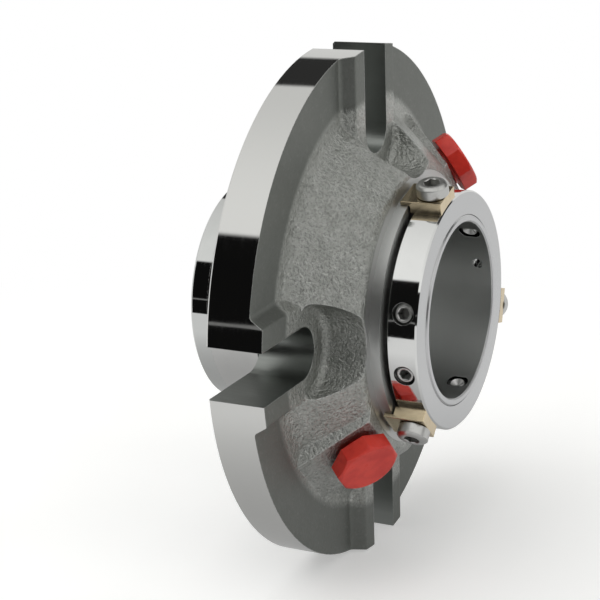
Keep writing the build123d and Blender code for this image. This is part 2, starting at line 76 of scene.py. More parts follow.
class Cut(Enum):
    """Ways to combine two closed meshes."""

    KEEP_COMMON = "INTERSECT"
    TAKE_AWAY = "DIFFERENCE"


# ---- node graphs ------------------------------------------------------------------------------


class Graph:
    """A node tree, with short methods for the nodes that the finishes use."""

    def __init__(self, name: str, world: bool = False) -> None:
        """Start an empty material or world.

        Args:
            name: Name of the material or world.
            world: Whether it is a world.
        """
        self.owner = (bpy.data.worlds if world else bpy.data.materials).new(name)
        self.owner.use_nodes = True
        self.tree = self.owner.node_tree
        self.tree.nodes.clear()

    def put(self, target: Socket, value: Input) -> None:
        """Link a socket to another one, or write its value.

        Args:
            target: The input socket.
            value: The socket that it is linked to, or its value.
        """
        if isinstance(value, bpy.types.NodeSocket):
            self.tree.links.new(value, target)
        else:
            target.default_value = value

    def node(self, kind: str, inputs: Optional[dict] = None, **settings: object) -> bpy.types.Node:
        """Add a node.

        Args:
            kind: Blender's name of the node class.
            inputs: Values or links for its input sockets, by name or number.
            **settings: Properties of the node.

        Returns:
            The new node.
        """
        made = self.tree.nodes.new(kind)
        for key, value in settings.items():
            setattr(made, key, value)
        for key, value in (inputs or {}).items():
            self.put(made.inputs[key], value)
        return made

    def math(self, operation: str, *values: Input) -> Socket:
        """Add a Math node.

        Args:
            operation: Blender's name of the operation.
            *values: What it works on.

        Returns:
            The result.
        """
        made = self.node("ShaderNodeMath", operation=operation)
        for index, value in enumerate(values):
            self.put(made.inputs[index], value)
        return made.outputs[0]

    def ramp(self, value: Input, low: float, high: float, to_low: float = 0.0,
             to_high: float = 1.0) -> Socket:
        """Map a range smoothly onto another one, and clamp it.

        Args:
            value: The number that is mapped.
            low: Start of its range.
            high: End of its range.
            to_low: Result at the start.
            to_high: Result at the end.

        Returns:
            The mapped number.
        """
        made = self.node(
            "ShaderNodeMapRange",
            {0: value, 1: low, 2: high, 3: to_low, 4: to_high},
            interpolation_type="SMOOTHSTEP")
        return made.outputs[0]

    def plus(self, base: Input, pattern: Input, amount: Input) -> Socket:
        """Return a base with so much of a pattern added to it."""
        return self.math("ADD", base, self.math("MULTIPLY", pattern, amount))

    def reach(self, first: Socket, second: Socket) -> Socket:
        """Return the length that two parts at right angles make together."""
        squares = [self.math("MULTIPLY", part, part) for part in (first, second)]
        return self.math("SQRT", self.math("ADD", *squares))

    def band(self, value: Input, centre: float, half: float, soft: float) -> Socket:
        """Return 1 where a value lies within a band, with soft edges."""
        away = self.math("ABSOLUTE", self.math("SUBTRACT", value, centre))
        return self.ramp(away, half, half + soft, 1.0, 0.0)

    def mix(self, factor: Input, first: Input, second: Input) -> Socket:
        """Mix two colours.

        Args:
            factor: Share of the second one.
            first: Colour at 0.
            second: Colour at 1.

        Returns:
            The mixed colour.
        """
        made = self.node("ShaderNodeMix", data_type="RGBA")
        self.put(made.inputs[0], factor)
        for slot, value in ((6, first), (7, second)):
            if isinstance(value, (tuple, list)) and len(value) == 3:
                value = (*value, 1.0)
            self.put(made.inputs[slot], value)
        return made.outputs[2]

    def blend(self, factor: Input, first: Input, second: Input) -> Socket:
        """Mix two numbers.

        Args:
            factor: Share of the second one.
            first: Number at 0.
            second: Number at 1.

        Returns:
            The mixed number.
        """
        made = self.node("ShaderNodeMix", data_type="FLOAT")
        for slot, value in ((0, factor), (2, first), (3, second)):
            self.put(made.inputs[slot], value)
        return made.outputs[0]

    def place(self) -> Socket:
        """Return the object coordinates of a point."""
        return self.node("ShaderNodeTexCoord").outputs["Object"]

    def split(self, vector: Socket) -> tuple[Socket, Socket, Socket]:
        """Return the three parts of a vector."""
        parts = self.node("ShaderNodeSeparateXYZ", {0: vector}).outputs
        return parts[0], parts[1], parts[2]

    def join(self, x: Input, y: Input, z: Input) -> Socket:
        """Return a vector made of three numbers."""
        return self.node("ShaderNodeCombineXYZ", {0: x, 1: y, 2: z}).outputs[0]

    def noise(self, vector: Socket, size_mm: float, detail: float = 3.0,
              roughness: float = 0.55) -> Socket:
        """Add a noise.

        Args:
            vector: Where it is read.
            size_mm: Size of its features.
            detail: Number of finer layers on it.
            roughness: Strength of the finer layers.

        Returns:
            The pattern, from 0 to 1.
        """
        made = self.node(
            "ShaderNodeTexNoise",
            {"Vector": vector, "Scale": 1.0 / (size_mm * MM), "Detail": detail,
             "Roughness": roughness})
        return made.outputs[0]

    def cells(self, vector: Socket, size_mm: float, feature: str = "F1") -> Socket:
        """Add a pattern of random cells.

        Args:
            vector: Where it is read.
            size_mm: Size of a cell.
            feature: Blender's name of the distance that is read.

        Returns:
            The distance from the middle of a cell.
        """
        made = self.node(
            "ShaderNodeTexVoronoi", {"Vector": vector, "Scale": 1.0 / (size_mm * MM)},
            feature=feature)
        return made.outputs[0]

    def bump(self, height: Socket, depth_mm: float, strength: float = 1.0,
             under: Optional[Socket] = None) -> Socket:
        """Turn a height pattern into a normal.

        Args:
            height: The pattern, from 0 to 1.
            depth_mm: Depth that a height of 1 stands for.
            strength: Strength of the effect.
            under: Normal that the pattern is added to.

        Returns:
            The changed normal.
        """
        made = self.node(
            "ShaderNodeBump",
            {"Height": height, "Distance": depth_mm * MM, "Strength": strength})
        if under is not None:
            self.put(made.inputs["Normal"], under)
        return made.outputs[0]

    def soft_edges(self, radius: Input) -> Socket:
        """Return the normal of a surface whose edges are rounded by a radius in metres."""
        return self.node("ShaderNodeBevel", {"Radius": radius}, samples=SAMPLES).outputs[0]

    def openness(self, reach_mm: float) -> Socket:
        """Return 1 in the open and 0 deep in a hollow, as far as a reach in millimetres."""
        made = self.node("ShaderNodeAmbientOcclusion", {"Distance": reach_mm * MM}, samples=SAMPLES)
        return made.outputs["AO"]

    def edge_band(self, radius: Input) -> Socket:
        """Find the edges of a surface.

        Args:
            radius: How far from an edge the band reaches, in metres.

        Returns:
            1 along the edges, and 0 away from them.
        """
        flat = self.node("ShaderNodeNewGeometry").outputs["Normal"]
        made = self.node(
            "ShaderNodeVectorMath", {0: self.soft_edges(radius), 1: flat}, operation="DOT_PRODUCT")
        return self.ramp(made.outputs["Value"], *EDGE_TILT)

    def finish(self, colour: Input, roughness: Input, normal: Optional[Socket] = None,
               metal: Input = 1.0, **fixed: float) -> bpy.types.Material:
        """Close the tree with one Principled shader.

        Args:
            colour: Base colour.
            roughness: Roughness.
            normal: Normal, if it isn't the plain one.
            metal: Metallic value.
            **fixed: Values written straight onto the shader's other sockets, with an
                underscore for each space.

        Returns:
            The finished material.
        """
        if isinstance(colour, (tuple, list)) and len(colour) == 3:
            colour = (*colour, 1.0)
        shader = self.node(
            "ShaderNodeBsdfPrincipled",
            {"Base Color": colour, "Roughness": roughness, "Metallic": metal})
        for key, value in fixed.items():
            shader.inputs[key.replace("_", " ")].default_value = value
        if normal is not None:
            self.put(shader.inputs["Normal"], normal)
        if fixed.get("Anisotropic"):
            tangent = self.node("ShaderNodeTangent", direction_type="RADIAL", axis="X")
            self.put(shader.inputs["Tangent"], tangent.outputs[0])
        self.node("ShaderNodeOutputMaterial", {"Surface": shader.outputs[0]})
        return self.owner


# ---- finishes ---------------------------------------------------------------------------------


@dataclass(frozen=True)
class TurnedSteel:
    """Steel turned on the shaft axis: fine feed marks, a few scratches and faint smudges."""

    name: str
    colour: Colour = (0.64, 0.64, 0.63)
    rough: float = 0.045
    feed_mm: float = 0.16
    depth_mm: float = 0.0006
    scratches: float = 0.25
    anisotropy: float = 0.0
    front_x: float = 41.1
    front_rough: float = 0.16
    front_colour: Colour = (0.575, 0.58, 0.585)
    bore_r: float = 0.0
    bore_rough: float = 0.30
    line_mm: float = 6.0
    line_crowding: float = 14.0
    line_height: float = 1.4
    feed_height: float = 0.35
    smudge_mm: float = 14.0
    smudge_rough: float = 0.02
    smudge_shade: float = 0.94
    grain_mm: float = 0.9
    grain_rough: float = 0.02
    scratch_rough: float = 0.10
    edge_mm: float = 0.12
    quarter_turn: float = 0.25

    def make(self) -> bpy.types.Material:
        """Build the material.

        Returns:
            The material.
        """
        g = Graph(self.name)
        spot = g.place()
        x, y, z = g.split(spot)
        radius = g.reach(y, z)
        along = g.math("ADD", x, radius)
        feed = g.math("SINE", g.math("MULTIPLY", along, TAU / (self.feed_mm * MM)))
        crowded = g.join(g.math("MULTIPLY", along, self.line_crowding), y, z)
        lines = g.noise(crowded, self.line_mm, 5.0, 0.7)
        smudge = g.noise(spot, self.smudge_mm, 3.0)
        grain = g.noise(spot, self.grain_mm, 4.0)
        height = g.plus(g.math("MULTIPLY", feed, self.feed_height), lines, self.line_height)
        normal = g.bump(height, self.depth_mm, 1.0, g.soft_edges(self.edge_mm * MM))
        streak = g.ramp(lines, 0.56, 0.72)
        front = g.ramp(x, (self.front_x - 0.05) * MM, (self.front_x - 0.01) * MM)
        bore = g.ramp(radius, (self.bore_r + 0.3) * MM, (self.bore_r + 0.4) * MM, 1.0, 0.0)
        rough: Input = self.rough
        for pattern, amount in (
                (g.ramp(smudge, 0.45, 0.75), self.smudge_rough),
                (streak, self.scratch_rough * self.scratches),
                (grain, self.grain_rough), (front, self.front_rough), (bore, self.bore_rough)):
            rough = g.plus(rough, pattern, amount)
        shaded = tuple(self.smudge_shade * part for part in self.colour)
        colour = g.mix(g.ramp(smudge, 0.40, 0.80), self.colour, shaded)
        colour = g.mix(front, colour, self.front_colour)
        return g.finish(colour, rough, normal, Anisotropic=self.anisotropy,
                        Anisotropic_Rotation=self.quarter_turn)


@dataclass(frozen=True)
class GlandSteel:
    """Blasted cast steel with machined faces: rim, rear face, nose, bores and bolt slots."""

    name: str = "gland_cast_and_machined"
    cast: Colour = (0.44, 0.45, 0.425)
    cast_light: Colour = (0.50, 0.51, 0.485)
    # dark cast tone for random cells, also used as painted shade in hollows and low spots
    cast_dark_and_painted_shade: Colour = (0.23, 0.235, 0.22)
    # light colour of the painted edge highlight, partly real rubbing
    edge_highlight_and_wear: Colour = (0.74, 0.75, 0.73)
    # colour of the painted glints
    glint: Colour = (0.68, 0.69, 0.66)
    flange: Colour = (0.195, 0.205, 0.19)
    slot_wall: Colour = (0.30, 0.315, 0.30)
    bright: Colour = (0.64, 0.64, 0.625)
    nose: Colour = (0.58, 0.585, 0.575)
    gland_r: float = 73.5
    nose_r: float = 36.0
    nose_back: float = 28.5
    land_r: float = 38.8
    foot_r: float = 58.0
    foot_width: float = 3.0
    rear_depth: Range = (0.02, 0.10)
    chamfer_depth: Range = (0.60, 0.68)
    slot_half: float = 7.1
    slot_end: float = 50.7
    swell_mm: float = 5.0
    shot_mm: float = 0.95
    sand_mm: float = 0.75
    grit_mm: float = 0.30
    grain_mm: float = 0.80
    shot_height: float = 0.45
    sand_height: float = 1.30
    grit_height: float = 0.25
    calm_height: float = 0.12
    skin_mm: float = 0.38
    hollow_mm: float = 4.0
    edge_band_mm: float = 0.55
    cast_edge_mm: float = 0.9
    cut_edge_mm: float = 0.10
    feed_mm: float = 0.20
    feed_height: float = 0.25
    line_mm: float = 7.0
    line_crowding: float = 12.0
    line_height: float = 1.1
    mill_mm: float = 5.0
    mill_crowding: tuple[float, float, float] = (0.8, 9.0, 9.0)
    mill_height: float = 14.0
    cut_mm: float = 0.0008

    def slot_mask(self, g: Graph, y: Socket, z: Socket) -> Socket:
        """Find the walls of the four bolt slots.

        Args:
            g: Graph of the material.
            y: Place across the shaft axis.
            z: Height above the shaft axis.

        Returns:
            1 on the walls, and 0 elsewhere.
        """
        ay, az = g.math("ABSOLUTE", y), g.math("ABSOLUTE", z)
        out = g.math("MAXIMUM", ay, az)
        side = g.math("MINIMUM", ay, az)
        beyond = g.math("MINIMUM", g.math("SUBTRACT", out, self.slot_end * MM), 0.0)
        gap = g.reach(beyond, side)
        return g.ramp(gap, (self.slot_half + 0.03) * MM, (self.slot_half + 0.12) * MM, 1.0, 0.0)

    def turned_mask(self, g: Graph, x: Socket, radius: Socket, nose_ring: Socket) -> Socket:
        """Find the turned faces: rear face, rim, nose ring, bores and the rear chamfer.

        Args:
            g: Graph of the material.
            x: Place along the shaft axis.
            radius: Distance from the shaft axis.
            nose_ring: Mask of the nose ring.

        Returns:
            1 on them, and 0 elsewhere.
        """
        rim = g.ramp(radius, (self.gland_r - 0.09) * MM, (self.gland_r - 0.04) * MM)
        inside = g.ramp(radius, (self.nose_r - 0.8) * MM, (self.nose_r - 0.6) * MM, 1.0, 0.0)
        rear, chamfer = (
            g.ramp(x, near * MM, far * MM, 1.0, 0.0)
            for near, far in (self.rear_depth, self.chamfer_depth))
        mask = g.math("MAXIMUM", g.math("MAXIMUM", rear, rim), g.math("MAXIMUM", nose_ring, inside))
        return g.math("MAXIMUM", mask, chamfer)

    def cast_skin(self, g: Graph, spot: Socket, radius: Socket) -> tuple[Socket, Socket, Socket]:
        """Make the cast skin: shot marks, grains with painted glints, painted shade in hollows and
        low spots, and painted edge highlights, calmer on the flange.

        Args:
            g: Graph of the material.
            spot: Place on the casting.
            radius: Distance from the shaft axis.

        Returns:
            Its colour, roughness and height.
        """
        calm = g.ramp(radius, self.foot_r * MM, (self.foot_r + self.foot_width) * MM)
        swell = g.noise(spot, self.swell_mm, 2.0)
        shot = g.cells(spot, self.shot_mm, "SMOOTH_F1")
        sand = g.noise(spot, self.sand_mm, 3.0, 0.6)
        grit = g.noise(spot, self.grit_mm, 2.0, 0.6)
        grain = g.node(
            "ShaderNodeTexVoronoi", {"Vector": spot, "Scale": 1.0 / (self.grain_mm * MM)})
        chance, odds, _ = g.split(grain.outputs["Color"])
        # painted glint: a few random grains on raised spots get a lighter colour; their lower
        # roughness is real
        glint = g.math("MULTIPLY", g.ramp(chance, 0.78, 0.98), g.ramp(sand, 0.44, 0.62))
        glint = g.math("MULTIPLY", glint, g.blend(calm, 0.55, 0.06))
        open_air = g.openness(self.hollow_mm)
        # painted edge highlight, partly real rubbing: open convex edges turn light, most on raised
        # spots
        rubbed_and_highlit = g.math("MULTIPLY", g.edge_band(self.edge_band_mm * MM), g.ramp(open_air, 0.62, 0.85))
        rubbed_and_highlit = g.math("MULTIPLY", rubbed_and_highlit, g.ramp(sand, 0.34, 0.56, 0.25, 0.85))
        colour = g.mix(g.ramp(swell, 0.38, 0.62), self.cast, self.cast_light)
        for share, tint in (
                (g.ramp(odds, 0.45, 0.95, 0.0, 0.20), self.cast_dark_and_painted_shade),
                # painted shade: darker where the relief is low
                (g.ramp(sand, 0.50, 0.36, 0.0, 0.50), self.cast_dark_and_painted_shade),
                (g.math("MULTIPLY", calm, 0.85), self.flange), (glint, self.glint),
                # painted shade: darker in hollows, from the openness mask
                (g.ramp(open_air, 0.80, 0.35, 0.0, 0.45), self.cast_dark_and_painted_shade), (rubbed_and_highlit, self.edge_highlight_and_wear)):
            colour = g.mix(share, colour, tint)
        rough = g.plus(g.blend(calm, 0.24, 0.46), sand, 0.16)
        rough = g.blend(glint, rough, 0.26)
        height = g.plus(g.math("MULTIPLY", shot, self.shot_height), sand, self.sand_height)
        height = g.plus(height, grit, self.grit_height)
        return colour, rough, g.math("MULTIPLY", height, g.blend(calm, 1.0, self.calm_height))

    def make(self) -> bpy.types.Material:
        """Build the material.

        Returns:
            The material.
        """
        g = Graph(self.name)
        spot = g.place()
        x, y, z = g.split(spot)
        radius = g.reach(y, z)
        nose_ring = g.math(
            "MULTIPLY", g.ramp(x, (self.nose_back - 0.20) * MM, (self.nose_back - 0.10) * MM),
            g.ramp(radius, self.land_r * MM, (self.land_r + 0.15) * MM, 1.0, 0.0))
        turned = self.turned_mask(g, x, radius, nose_ring)
        slots = self.slot_mask(g, y, z)
        machined = g.math("MAXIMUM", turned, slots)
        cast, rough_cast, skin = self.cast_skin(g, spot, radius)

        # the machined skin: feed marks on the turned faces, cutter marks in the slots
        along = g.math("ADD", x, radius)
        feed = g.math("SINE", g.math("MULTIPLY", along, TAU / (self.feed_mm * MM)))
        crowded = g.join(g.math("MULTIPLY", along, self.line_crowding), y, z)
        lines = g.noise(crowded, self.line_mm, 5.0, 0.7)
        swept = g.join(*(
            g.math("MULTIPLY", part, k) for part, k in zip((x, y, z), self.mill_crowding)))
        milled = g.noise(swept, self.mill_mm, 4.0, 0.65)
        bright = g.mix(g.ramp(lines, 0.62, 0.78, 0.0, 0.20), self.bright, self.cast_light)
        bright = g.mix(nose_ring, bright, self.nose)
        bright = g.mix(slots, bright, self.slot_wall)
        rough_bright = g.blend(nose_ring, g.ramp(lines, 0.4, 0.8, 0.04, 0.09), 0.42)
        rough_bright = g.blend(slots, rough_bright, g.ramp(milled, 0.3, 0.7, 0.30, 0.40))

        colour = g.mix(machined, cast, bright)
        rough = g.blend(machined, rough_cast, rough_bright)
        edge = g.soft_edges(g.blend(machined, self.cast_edge_mm * MM, self.cut_edge_mm * MM))
        rest = g.math("SUBTRACT", 1.0, machined)
        normal = g.bump(g.math("MULTIPLY", skin, rest), self.skin_mm, 1.0, edge)
        fine = g.plus(g.math("MULTIPLY", feed, self.feed_height), lines, self.line_height)
        fine = g.plus(g.math("MULTIPLY", fine, turned), milled,
                      g.math("MULTIPLY", slots, self.mill_height))
        normal = g.bump(fine, self.cut_mm, 1.0, normal)
        return g.finish(colour, rough, normal)


@dataclass(frozen=True)
class MilledBrass:
    """Brass bar cut to length: milling lines, a little tarnish and softly rounded edges."""

    name: str = "clip_brass"
    colour: Colour = (0.72, 0.60, 0.41)
    tarnish: Colour = (0.48, 0.36, 0.20)
    cloud_mm: float = 3.5
    line_mm: float = 3.0
    line_crowding: float = 16.0
    grain_mm: float = 0.3
    edge_mm: float = 0.25
    depth_mm: float = 0.006

    def make(self) -> bpy.types.Material:
        """Build the material.

        Returns:
            The material.
        """
        g = Graph(self.name)
        spot = g.place()
        x, y, z = g.split(spot)
        cloud = g.noise(spot, self.cloud_mm, 4.0, 0.6)
        crowded = g.join(g.math("MULTIPLY", x, self.line_crowding), y, z)
        lines = g.noise(crowded, self.line_mm, 5.0, 0.7)
        grain = g.noise(spot, self.grain_mm, 3.0)
        colour = g.mix(g.ramp(cloud, 0.50, 0.75, 0.0, 0.35), self.colour, self.tarnish)
        colour = g.mix(g.ramp(lines, 0.55, 0.75, 0.0, 0.25), colour, self.tarnish)
        rough = g.plus(g.ramp(cloud, 0.35, 0.75, 0.15, 0.22), grain, 0.04)
        soft = g.soft_edges(self.edge_mm * MM)
        normal = g.bump(g.plus(lines, grain, 0.3), self.depth_mm, 0.7, soft)
        return g.finish(colour, rough, normal)


@dataclass(frozen=True)
class MouldedPlastic:
    """Glossy moulded plastic with a faint orange peel and softly rounded edges."""

    name: str = "plug_red_plastic"
    colour: Colour = (0.82, 0.055, 0.035)
    deep: Colour = (0.66, 0.030, 0.020)
    flow_mm: float = 6.0
    peel_mm: float = 0.9
    dust_mm: float = 0.25
    edge_mm: float = 0.18
    depth_mm: float = 0.012
    glow: float = 0.12
    glow_m: float = 0.002

    def make(self) -> bpy.types.Material:
        """Build the material.

        Returns:
            The material.
        """
        g = Graph(self.name)
        spot = g.place()
        flow = g.noise(spot, self.flow_mm, 3.0)
        peel = g.noise(spot, self.peel_mm, 2.0)
        dust = g.noise(spot, self.dust_mm, 3.0, 0.7)
        colour = g.mix(g.ramp(flow, 0.35, 0.70), self.colour, self.deep)
        rough = g.plus(g.ramp(flow, 0.3, 0.8, 0.24, 0.34), dust, 0.08)
        normal = g.bump(peel, self.depth_mm, 0.6, g.soft_edges(self.edge_mm * MM))
        return g.finish(
            colour, rough, normal, 0.0, Subsurface_Weight=self.glow, Subsurface_Scale=self.glow_m,
            IOR=1.49, Specular_IOR_Level=0.5)


@dataclass(frozen=True)
class PlainSteel:
    """Steel of screws, pins and rings: a fine grain, soft scratches, a little soil and painted
    shade in hollows.
    """

    name: str
    colour: Colour = (0.58, 0.58, 0.565)
    soil: Colour = (0.36, 0.355, 0.34)
    # colour of the painted shade in hollows
    painted_hollow_shade: Colour = (0.03, 0.03, 0.028)
    rough: float = 0.24
    grain_mm: float = 0.35
    depth_mm: float = 0.004
    cloud_mm: float = 2.6
    drag_mm: float = 2.2
    drag_crowding: float = 7.0
    hollow_mm: float = 2.5
    edge_mm: float = 0.10

    def make(self) -> bpy.types.Material:
        """Build the material.

        Returns:
            The material.
        """
        g = Graph(self.name)
        spot = g.place()
        x, y, z = g.split(spot)
        cloud = g.noise(spot, self.cloud_mm, 4.0, 0.6)
        grain = g.noise(spot, self.grain_mm, 4.0, 0.6)
        crowded = g.join(x, *(g.math("MULTIPLY", part, self.drag_crowding) for part in (y, z)))
        drag = g.noise(crowded, self.drag_mm, 4.0)
        colour = g.mix(g.ramp(cloud, 0.50, 0.78, 0.0, 0.5), self.colour, self.soil)
        open_air = g.openness(self.hollow_mm)
        # painted shade: sockets and other hollows darken nearly to black
        colour = g.mix(g.ramp(open_air, 0.62, 0.25, 0.0, 0.9), colour, self.painted_hollow_shade)
        rough = g.plus(self.rough - 0.06, grain, 0.14)
        height = g.plus(grain, drag, 0.6)
        normal = g.bump(height, self.depth_mm, 0.8, g.soft_edges(self.edge_mm * MM))
        return g.finish(colour, rough, normal)


@dataclass(frozen=True)
class LappedFace:
    """Carbon graphite or silicon carbide: dense fine grain, smooth from lapping."""

    name: str
    colour: Colour
    fleck: Colour
    rough: float = 0.30
    grain_mm: float = 0.25
    pore_mm: float = 1.4
    edge_mm: float = 0.15
    depth_mm: float = 0.005

    def make(self) -> bpy.types.Material:
        """Build the material.

        Returns:
            The material.
        """
        g = Graph(self.name)
        spot = g.place()
        grain = g.cells(spot, self.grain_mm)
        pore = g.noise(spot, self.pore_mm, 5.0, 0.7)
        colour = g.mix(g.ramp(grain, 0.15, 0.55), self.fleck, self.colour)
        rough = g.plus(self.rough - 0.05, pore, 0.14)
        soft = g.soft_edges(self.edge_mm * MM)
        normal = g.bump(g.math("ADD", grain, pore), self.depth_mm, 0.6, soft)
        return g.finish(colour, rough, normal, 0.0, IOR=1.8)


@dataclass(frozen=True)
class MouldedRubber:
    """Black ring rubber with a bloom and the marks of its mould."""

    name: str = "ring_rubber_black"
    colour: Colour = (0.016, 0.016, 0.017)
    bloom: Colour = (0.06, 0.06, 0.06)
    dust_mm: float = 1.2
    pit_mm: float = 0.22
    depth_mm: float = 0.010

    def make(self) -> bpy.types.Material:
        """Build the material.

        Returns:
            The material.
        """
        g = Graph(self.name)
        spot = g.place()
        dust = g.noise(spot, self.dust_mm, 5.0, 0.7)
        pits = g.noise(spot, self.pit_mm, 3.0)
        colour = g.mix(g.ramp(dust, 0.52, 0.80, 0.0, 0.7), self.colour, self.bloom)
        rough = g.ramp(dust, 0.3, 0.8, 0.42, 0.62)
        return g.finish(colour, rough, g.bump(pits, self.depth_mm, 0.6), 0.0, IOR=1.5)


@dataclass(frozen=True)
class FibreSheet:
    """Pressed fibre gasket: tangled threads in a dark binder."""

    name: str = "gasket_fibre"
    colour: Colour = (0.075, 0.09, 0.085)
    thread: Colour = (0.20, 0.22, 0.20)
    thread_mm: float = 1.6
    thread_crowding: float = 6.0
    fluff_mm: float = 0.3
    depth_mm: float = 0.03

    def make(self) -> bpy.types.Material:
        """Build the material.

        Returns:
            The material.
        """
        g = Graph(self.name)
        spot = g.place()
        x, y, z = g.split(spot)
        warp, weft = (g.noise(g.join(*parts), self.thread_mm, 4.0, 0.7) for parts in (
            (x, g.math("MULTIPLY", y, self.thread_crowding), z),
            (x, y, g.math("MULTIPLY", z, self.thread_crowding))))
        threads = g.math("MAXIMUM", g.ramp(warp, 0.55, 0.66), g.ramp(weft, 0.55, 0.66))
        colour = g.mix(g.math("MULTIPLY", threads, 0.6), self.colour, self.thread)
        height = g.math("ADD", threads, g.noise(spot, self.fluff_mm))
        normal = g.bump(height, self.depth_mm, 0.7)
        return g.finish(colour, g.ramp(warp, 0.3, 0.8, 0.62, 0.82), normal, 0.0)


# ---- shaping ----------------------------------------------------------------------------------


def empty_mesh() -> bmesh.types.BMesh:
    """Return a new empty mesh."""
    return bmesh.new()


def tidy(bm: bmesh.types.BMesh) -> bmesh.types.BMesh:
    """Merge doubles and turn all faces outwards.

    Args:
        bm: The mesh, which is changed.

    Returns:
        The same mesh.
    """
    bmesh.ops.remove_doubles(bm, verts=bm.verts, dist=MERGE_MM)
    bmesh.ops.dissolve_degenerate(bm, edges=bm.edges, dist=MERGE_MM)
    bmesh.ops.recalc_face_normals(bm, faces=bm.faces)
    return bm


def lathe(profile: Profile, steps: int = 64, closed: bool = False) -> bmesh.types.BMesh:
    """Spin a profile about the local Z axis.

    Args:
        profile: Pairs of height and radius.
        steps: Number of steps round the axis.
        closed: Whether the last point joins the first one. An open profile starts and
            ends on the axis.

    Returns:
        The closed mesh.
    """
    bm = empty_mesh()
    corners = [bm.verts.new((radius, 0.0, height)) for height, radius in profile]
    pairs = list(zip(corners, corners[1:]))
    if closed:
        pairs.append((corners[-1], corners[0]))
    edges = [bm.edges.new(pair) for pair in pairs]
    bmesh.ops.spin(
        bm, geom=[*corners, *edges], cent=(0, 0, 0), axis=(0, 0, 1), dvec=(0, 0, 0),
        angle=TAU, steps=steps, use_merge=True, use_duplicate=False)
    return tidy(bm)


def prism(sides: int, across_flats: float, low: float, high: float) -> bmesh.types.BMesh:
    """Make an upright prism with a corner on the local X axis.

    Args:
        sides: Number of sides.
        across_flats: Distance between two opposite sides.
        low: Height of its lower end.
        high: Height of its upper end.

    Returns:
        The closed mesh.
    """
    bm = empty_mesh()
    radius = across_flats / 2 / math.cos(math.pi / sides)
    bmesh.ops.create_circle(bm, cap_ends=True, segments=sides, radius=radius)
    corner = bm.verts[:][0].co
    turn = Matrix.Rotation(-math.atan2(corner.y, corner.x), 4, "Z")
    bmesh.ops.transform(bm, matrix=Matrix.Translation((0, 0, low)) @ turn, verts=bm.verts)
    made = bmesh.ops.extrude_face_region(bm, geom=bm.faces[:])
    top = [item for item in made["geom"] if isinstance(item, bmesh.types.BMVert)]
    bmesh.ops.translate(bm, vec=(0, 0, high - low), verts=top)
    return tidy(bm)


def thread(major: float, minor: float, pitch: float, low: float, high: float,
           taper: float = 0.0, steps: int = 28) -> bmesh.types.BMesh:
    """Make the helical ridge of a thread about the local Z axis.

    Args:
        major: Outer radius.
        minor: Root radius.
        pitch: Pitch.
        low: Lowest height of the ridge's middle.
        high: Highest height of the ridge's middle.
        taper: Loss of radius at the low end.
        steps: Steps in one turn.

    Returns:
        The closed ridge, sunk a little into its core.
    """
    bm = empty_mesh()
    sunk = minor - 0.05
    foot, crest = 0.46, 0.09  # half widths, as shares of the pitch
    section = ((sunk, -foot), (major, -crest), (major, crest), (sunk, foot))
    corners = [bm.verts.new((radius, 0.0, high + part * pitch)) for radius, part in section]
    face = bm.faces.new(corners)
    turns = (high - low) / pitch
    count = max(3, round(steps * turns))
    bmesh.ops.spin(
        bm, geom=[face, *face.edges, *face.verts], cent=(0, 0, 0), axis=(0, 0, 1),
        dvec=(0, 0, (low - high) / count), angle=TAU * turns, steps=count,
        use_merge=False, use_duplicate=False)
    bmesh.ops.holes_fill(bm, edges=[e for e in bm.edges if e.is_boundary], sides=4)
    if taper:
        for vert in bm.verts:
            shrink = taper * (high - vert.co.z) / (high - low)
            flat = vert.co.xy.length
            vert.co.xy *= (flat - shrink) / flat
    return tidy(bm)


def join(*meshes: bmesh.types.BMesh) -> bmesh.types.BMesh:
    """Put several meshes into one, and free them.

    Args:
        *meshes: The meshes.

    Returns:
        One mesh with all of them.
    """
    whole = empty_mesh()
    for bm in meshes:
        scratch = bpy.data.meshes.new("scratch")
        bm.to_mesh(scratch)
        bm.free()
        whole.from_mesh(scratch)
        bpy.data.meshes.remove(scratch)
    return whole


def combine(base: bmesh.types.BMesh, tool: bmesh.types.BMesh, cut: Cut) -> bmesh.types.BMesh:
    """Combine two closed meshes, and free them.

    Args:
        base: The mesh that is cut.
        tool: The mesh that cuts it.
        cut: What is kept.

    Returns:
        The resulting mesh.
    """
    scene = bpy.context.scene
    objects = []
    for bm in (base, tool):
        scratch = bpy.data.meshes.new("scratch")
        bm.to_mesh(scratch)
        bm.free()
        objects.append(bpy.data.objects.new("scratch", scratch))
        scene.collection.objects.link(objects[-1])
    modifier = objects[0].modifiers.new("cut", "BOOLEAN")
    modifier.operation = cut.value
    modifier.solver = "EXACT"
    modifier.object = objects[1]
    bpy.context.view_layer.update()
    result = empty_mesh()
    result.from_object(objects[0], bpy.context.evaluated_depsgraph_get())
    for obj in objects:
        scratch = obj.data
        bpy.data.objects.remove(obj)
        bpy.data.meshes.remove(scratch)
    return tidy(result)


def round_edges(bm: bmesh.types.BMesh, width: float, segments: int = 2,
                least_degrees: float = 28.0) -> bmesh.types.BMesh:
    """Bevel the sharp edges of a mesh.

    Args:
        bm: The mesh, which is changed.
        width: Width of the bevel.
        segments: Steps across the bevel.
        least_degrees: Smallest angle between two faces that counts as sharp.

    Returns:
        The same mesh.
    """
    least = math.radians(least_degrees)
    sharp = [e for e in bm.edges if e.is_manifold and e.calc_face_angle(0.0) > least]
    bmesh.ops.bevel(
        bm, geom=sharp, offset=width, offset_type="OFFSET", affect="EDGES",
        segments=segments, profile=0.5, material=-1, clamp_overlap=True)
    return bm


def moved(bm: bmesh.types.BMesh, matrix: Matrix) -> bmesh.types.BMesh:
    """Move a mesh by a matrix."""
    bmesh.ops.transform(bm, matrix=matrix, verts=bm.verts)
    return bm


